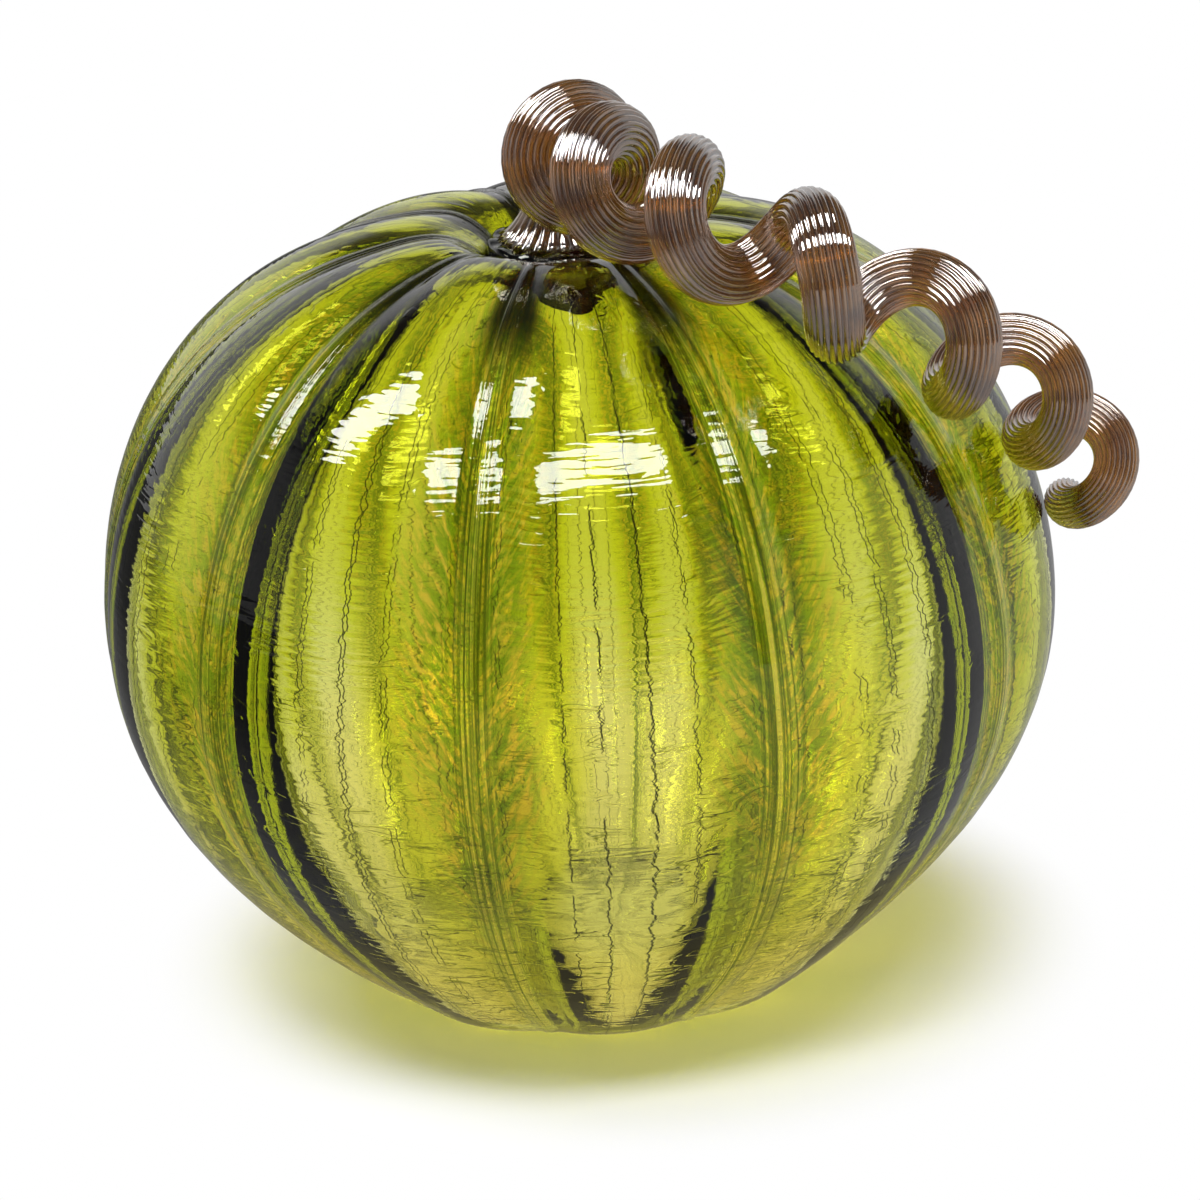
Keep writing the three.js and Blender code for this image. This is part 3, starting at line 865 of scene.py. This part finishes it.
def root_line(body, stem, curl):
    """The root of the cane: a foot spread on the pad, from which it rises to the first turn."""
    (first, radius), (second, _) = curl[0], curl[LEAD_POINT]
    foot = np.array((0, 0, pad_top(body, stem, stem.foot_radius) + FIT_GAP))
    start = foot + (0, 0, FOOT_EDGE)
    rise = start + (0, 0, ROOT_RISE * stem.cane_radius)
    lead = (first - second) / np.linalg.norm(first - second) * stem.cane_radius
    control = (start, rise, first + lead, first)
    line = [(foot, stem.foot_radius)]
    for share in (np.arange(ROOT_STEPS) / ROOT_STEPS) ** ROOT_SPACING:
        rest = 1 - share
        weights = (rest**3, 3 * rest**2 * share, 3 * rest * share**2, share**3)
        place = sum(weight * point for weight, point in zip(weights, control))
        flare = math.exp((foot[2] - place[2]) / FOOT_FLARE)
        line.append((place, radius + flare * (stem.foot_radius - radius)))
    return line


# Operators, one for each piece and one for the stage

class PUMPKIN_OT_body(bpy.types.Operator):
    """Blow the body: two walls spun round the axis, lobed, ribbed and joined at the hole"""

    bl_idname = "pumpkin.body"
    bl_label = "Blown body"

    def execute(self, context):
        sizes = context.scene.pumpkin_body
        gore = FULL_TURN / sizes.lobes
        start = sizes.first_rib - RIB_SPAN / 2
        spans = ((RIB_SPAN, RIB_COLUMNS), (gore - RIB_SPAN, PANEL_COLUMNS))
        outer = spun_wall("blown_body", outer_outline(sizes), start, sizes.lobes, spans)
        inner = spun_wall("inner_wall", inner_outline(sizes), start, sizes.lobes, spans)

        def outside(points):
            azimuth, radius, height = polar(points)
            grain = points / (WAVE_WIDTH, WAVE_WIDTH, WAVE_SPACING)
            waves = np.array([noise.noise(Vector(place)) for place in grain])
            low = smooth_step(height, *WAVE_LOW)
            fade = smooth_step(height, *SKIN_RISE) * smooth_step(radius, *SKIN_REACH)
            wave = waves * fade * (WAVE_SWELL + WAVE_EXTRA * low)
            rib = rib_offset(sizes, azimuth, sizes.rib_height, RIB_HALF_ANGLE)
            rib = rib * smooth_step(radius, *LOBE_FADE)
            offset = lobe_offset(sizes, azimuth, radius) + rib + wave - SKIN * fade
            return swollen(sizes, points, azimuth, offset)

        def inside(points):
            azimuth, radius, height = polar(points)
            low = height < WIDEST_SHARE * sizes.width / 2
            gathered = np.where(low, smooth_step(radius, *LOBE_FADE), smooth_step(radius, *GATHER_FADE))
            extra = rib_offset(sizes, azimuth, sizes.rib_extra, GATHER_HALF_ANGLE) * gathered
            return swollen(sizes, points, azimuth, lobe_offset(sizes, azimuth, radius) - extra)

        move_points(outer, outside)
        move_points(inner, inside)
        marked = inner.data.attributes.new("inside", "FLOAT", "POINT")
        marked.data.foreach_set("value", np.ones(len(inner.data.vertices)))
        edit_all(inner)
        bpy.ops.mesh.flip_normals()
        bpy.ops.object.mode_set(mode="OBJECT")
        outer.select_set(True)
        context.view_layer.objects.active = outer
        bpy.ops.object.join()
        edit_all(outer)
        bpy.ops.mesh.select_mode(type="EDGE")
        bpy.ops.mesh.select_all(action="DESELECT")
        bpy.ops.mesh.select_non_manifold()
        bpy.ops.mesh.bridge_edge_loops()
        bpy.ops.object.mode_set(mode="OBJECT")
        bpy.ops.object.shade_smooth()
        dress(outer, body_glass(sizes, context.scene.pumpkin_colours), "body_shell")
        return {"FINISHED"}


class PUMPKIN_OT_pad(bpy.types.Operator):
    """Drop the dark pad on the hole and pinch its rim into ridges"""

    bl_idname = "pumpkin.pad"
    bl_label = "Stem pad"

    def execute(self, context):
        body = context.scene.pumpkin_body
        stem = context.scene.pumpkin_stem
        colours = context.scene.pumpkin_colours
        reach = stem.pad_shown
        outward = np.linspace(0, PAD_UNDER_SHARE, PAD_UNDER_ROWS) * reach
        inward = np.linspace(PAD_OVER_SHARE, 0, PAD_OVER_ROWS) * reach
        under = [(radius, float(pad_under(body, radius))) for radius in outward]
        rim = [(reach, float(pad_under(body, reach)) + PAD_RIM)]
        over = [(radius, pad_top(body, stem, radius)) for radius in inward]
        ridge = (FULL_TURN / PAD_RIDGES, COLUMNS_PER_RIDGE)
        pad = spun_wall("stem_pad_glass", under + rim + over, 0, PAD_RIDGES, (ridge,))

        def ridged(points):
            azimuth, radius, height = polar(points)
            middle = (pad_top(body, stem, radius) + pad_under(body, radius)) / 2
            groove = PAD_GROOVE * (1 - np.cos(azimuth * PAD_RIDGES)) / 2 * (radius / reach) ** 2
            lowered = height - np.where(height > middle, groove, 0)
            return np.column_stack([points[:, 0], points[:, 1], lowered])

        move_points(pad, ridged)
        bpy.ops.object.shade_smooth()
        dress(pad, pad_glass(colours), "stem_pad")
        return {"FINISHED"}


class PUMPKIN_OT_stem(bpy.types.Operator):
    """Wind the cane: a fluted section drawn along the curl, spread into a foot and round at its tail"""

    bl_idname = "pumpkin.stem"
    bl_label = "Curled stem"

    def execute(self, context):
        body = context.scene.pumpkin_body
        stem = context.scene.pumpkin_stem
        colours = context.scene.pumpkin_colours
        curl = curl_line(body, stem)
        line = root_line(body, stem, curl) + curl
        last, last_radius = line[-1]
        lead = last - line[-2][0]
        lead /= np.linalg.norm(lead)
        for bend in np.linspace(*TAIL_BENDS, TAIL_STEPS):
            place = last + lead * last_radius * TAIL_LENGTH * math.sin(bend)
            line.append((place, last_radius * math.cos(bend)))

        count = stem.flutes * POINTS_PER_FLUTE
        angles = np.arange(count) / count * FULL_TURN
        grooves = 1 - np.abs(np.cos(angles * stem.flutes / 2))
        section = 1 - grooves * stem.flute_depth / stem.cane_radius
        bpy.ops.object.select_all(action="DESELECT")
        bpy.ops.mesh.primitive_circle_add(vertices=count, radius=stem.cane_radius, fill_type="NGON")
        cane = context.object
        cane.name = "stem_cane"
        cane.data.name = "stem_cane"
        bpy.ops.object.mode_set(mode="EDIT")
        bpy.ops.mesh.select_all(action="SELECT")
        for _ in line[1:]:
            bpy.ops.mesh.extrude_region_move(TRANSFORM_OT_translate={"value": (0, 0, MM)})
        bpy.ops.object.mode_set(mode="OBJECT")

        across = np.array((1.0, 0, 0))
        rings = []
        places = np.array([place for place, _ in line])
        directions = np.gradient(places, axis=0)
        for (place, radius), direction in zip(line, directions):
            direction = direction / np.linalg.norm(direction)
            across = across - direction * (across @ direction)
            across /= np.linalg.norm(across)
            side = np.cross(direction, across)
            reach = (radius * section)[:, None]
            spread = across * np.cos(angles)[:, None] + side * np.sin(angles)[:, None]
            rings.append(place + reach * spread)

        def spokes(points):
            turns = np.arctan2(points[:, 1], points[:, 0]) / FULL_TURN
            return np.rint(turns * count).astype(int) % count

        def drawn(points):
            ring = np.rint(points[:, 2] / MM).astype(int)
            return np.array(rings)[ring, spokes(points)]

        groove = cane.data.attributes.new("groove", "FLOAT", "POINT")
        groove.data.foreach_set("value", grooves[spokes(point_places(cane))])
        move_points(cane, drawn)
        edit_all(cane)
        bpy.ops.mesh.normals_make_consistent(inside=False)
        bpy.ops.object.mode_set(mode="OBJECT")
        bpy.ops.object.shade_smooth()
        dress(cane, cane_glass(colours), "stem_curl")
        return {"FINISHED"}


class PUMPKIN_OT_stage(bpy.types.Operator):
    """Set the pale floor, the soft boxes and the camera of the photo"""

    bl_idname = "pumpkin.stage"
    bl_label = "Stage"

    def execute(self, context):
        stage = context.scene.pumpkin_stage
        self.floor(stage, context.scene.pumpkin_colours)
        self.camera(context, stage)
        self.lamps(context)
        self.room(context)
        context.scene.view_settings.view_transform = "Standard"
        return {"FINISHED"}

    def floor(self, stage, colours):
        bpy.ops.object.select_all(action="DESELECT")
        bpy.ops.mesh.primitive_plane_add(size=stage.floor_size)
        floor = bpy.context.object
        floor.name = "floor"
        material = new_material("white_sweep")
        tree = material.node_tree
        place = add(tree, "ShaderNodeTexCoord", output="Object")
        distance = add(
            tree, "ShaderNodeVectorMath", place, SHADOW_MIDDLE, operation="DISTANCE", output="Value"
        )
        path = add(tree, "ShaderNodeLightPath").node.outputs
        paper = add(tree, "ShaderNodeBsdfDiffuse", PAPER)
        glow = add(tree, "ShaderNodeEmission", WHITE, PAPER_GLOW)
        near = add(tree, "ShaderNodeAddShader", paper, glow)
        white = add(tree, "ShaderNodeEmission", WHITE, 1.0)
        far = add(tree, "ShaderNodeMapRange", distance, *SHADOW_FADE, **SOFT)
        seen = add(tree, "ShaderNodeMixShader", far, near, white)
        through = add(tree, "ShaderNodeMixShader", THROUGH_SHARE, seen, white)
        # Painted light: where the glass mirrors it, the floor glows khaki near the body and brighter to the
        # right
        painted_pool_tints = {6: linear(colours.khaki), 7: WHITE}
        painted_pool_tint = add(tree, "ShaderNodeMix", far, sockets=painted_pool_tints, **BLEND)
        rightward = add(tree, "ShaderNodeSeparateXYZ", place).node.outputs["X"]
        sweep = add(tree, "ShaderNodeMapRange", rightward, *MIRRORED_FLOOR)
        painted_mirrored_floor = add(tree, "ShaderNodeEmission", painted_pool_tint, sweep)
        surface = add(tree, "ShaderNodeMixShader", path["Is Glossy Ray"], seen, painted_mirrored_floor)
        surface = add(tree, "ShaderNodeMixShader", path["Is Transmission Ray"], surface, through)
        surface = add(tree, "ShaderNodeMixShader", path["Is Diffuse Ray"], surface, paper)
        add(tree, "ShaderNodeOutputMaterial", surface)
        floor.data.materials.append(material)

    def camera(self, context, stage):
        bpy.ops.object.camera_add()
        camera = context.object
        camera.name = "camera"
        camera.data.lens = stage.lens
        rise, roll = stage.elevation, stage.roll
        back = Vector((0, -math.cos(rise), math.sin(rise)))
        level = Vector((1, 0, 0))
        upright = Vector((0, math.sin(rise), math.cos(rise)))
        right = math.cos(roll) * level + math.sin(roll) * upright
        up = math.cos(roll) * upright - math.sin(roll) * level
        turned = Matrix((right, up, back)).transposed().to_4x4()
        camera.matrix_world = Matrix.Translation(Vector(stage.aim) + back * stage.distance) @ turned
        context.scene.camera = camera

    def lamps(self, context):
        for name, place, width, height, power in BOXES:
            bpy.ops.object.light_add(type="AREA", location=place)
            lamp = context.object
            lamp.name = name
            lamp.data.shape = "RECTANGLE"
            lamp.data.size = width
            lamp.data.size_y = height
            lamp.data.energy = power
            lamp.visible_camera = False
            aim = Vector(BOX_AIM) - Vector(place)
            lamp.rotation_euler = aim.to_track_quat("-Z", "Y").to_euler()

    def room(self, context):
        world = bpy.data.worlds.new("white_room")
        context.scene.world = world
        world.use_nodes = True
        tree = world.node_tree
        tree.nodes.clear()
        path = add(tree, "ShaderNodeLightPath").node.outputs
        direction = add(tree, "ShaderNodeTexCoord", output="Generated")
        ways = add(tree, "ShaderNodeSeparateXYZ", direction).node.outputs
        # What shows through the glass: soft walls, paler above and behind
        walls = add(tree, "ShaderNodeMapRange", ways["Y"], *WALLS, **SOFT)
        backdrop = add(tree, "ShaderNodeMapRange", ways["Y"], *BACKDROP, **SOFT)
        walls = add(tree, "ShaderNodeMix", backdrop, sockets={2: walls, 3: BACKDROP_LIGHT})
        above = add(tree, "ShaderNodeMapRange", ways["Z"], *CEILING, **SOFT)
        through = add(tree, "ShaderNodeMix", above, sockets={2: walls, 3: CEILING_LIGHT})
        # What its skin mirrors: the backdrop and the side walls, under a dark ceiling
        behind = add(tree, "ShaderNodeMapRange", ways["Y"], *MIRRORED_BACKDROP, **SOFT)
        under_ceiling = add(tree, "ShaderNodeMapRange", ways["Z"], *MIRRORED_CEILING, **SOFT)
        left = add(tree, "ShaderNodeMapRange", ways["X"], *MIRRORED_LEFT, **SOFT)
        right = add(tree, "ShaderNodeMapRange", ways["X"], *MIRRORED_RIGHT, **SOFT)
        mirrored = add(tree, "ShaderNodeMath", left, right, operation="MAXIMUM")
        mirrored = add(tree, "ShaderNodeMath", behind, mirrored, operation="MAXIMUM")
        mirrored = add(tree, "ShaderNodeMath", mirrored, under_ceiling, operation="MULTIPLY")
        mirrored = add(tree, "ShaderNodeMapRange", mirrored, *MIRRORED_RANGE)
        seen = {2: mirrored, 3: through}
        level = add(tree, "ShaderNodeMix", path["Is Transmission Ray"], sockets=seen)
        level = add(tree, "ShaderNodeMix", path["Is Diffuse Ray"], sockets={2: level, 3: ROOM_LIGHT})
        level = add(tree, "ShaderNodeMix", path["Is Camera Ray"], sockets={2: level, 3: 1.0})
        surface = add(tree, "ShaderNodeBackground", WHITE, level)
        add(tree, "ShaderNodeOutputWorld", surface)


class PUMPKIN_PT_sidebar(bpy.types.Panel):
    """Lists the pieces of the pumpkin and their sizes"""

    bl_idname = "PUMPKIN_PT_sidebar"
    bl_label = "Glass pumpkin"
    bl_space_type = "VIEW_3D"
    bl_region_type = "UI"
    bl_category = "Pumpkin"

    def draw(self, context):
        for name, group in GROUPS:
            box = self.layout.box()
            box.label(text=group.__doc__)
            settings = getattr(context.scene, name)
            for key in group.__annotations__:
                box.prop(settings, key)
        for operator in OPERATORS:
            self.layout.operator(operator.bl_idname)


GROUPS = (
    ("pumpkin_body", PumpkinBody),
    ("pumpkin_stem", PumpkinStem),
    ("pumpkin_colours", PumpkinColours),
    ("pumpkin_stage", PumpkinStage),
)
OPERATORS = (PUMPKIN_OT_body, PUMPKIN_OT_pad, PUMPKIN_OT_stem, PUMPKIN_OT_stage)


def register():
    for name, group in GROUPS:
        bpy.utils.register_class(group)
        setattr(bpy.types.Scene, name, PointerProperty(type=group))
    for operator in OPERATORS:
        bpy.utils.register_class(operator)
    bpy.utils.register_class(PUMPKIN_PT_sidebar)


def unregister():
    bpy.utils.unregister_class(PUMPKIN_PT_sidebar)
    for operator in reversed(OPERATORS):
        bpy.utils.unregister_class(operator)
    for name, group in reversed(GROUPS):
        delattr(bpy.types.Scene, name)
        bpy.utils.unregister_class(group)


def main():
    register()
    bpy.ops.pumpkin.body()
    bpy.ops.pumpkin.pad()
    bpy.ops.pumpkin.stem()
    bpy.ops.pumpkin.stage()


if __name__ == "__main__":
    main()
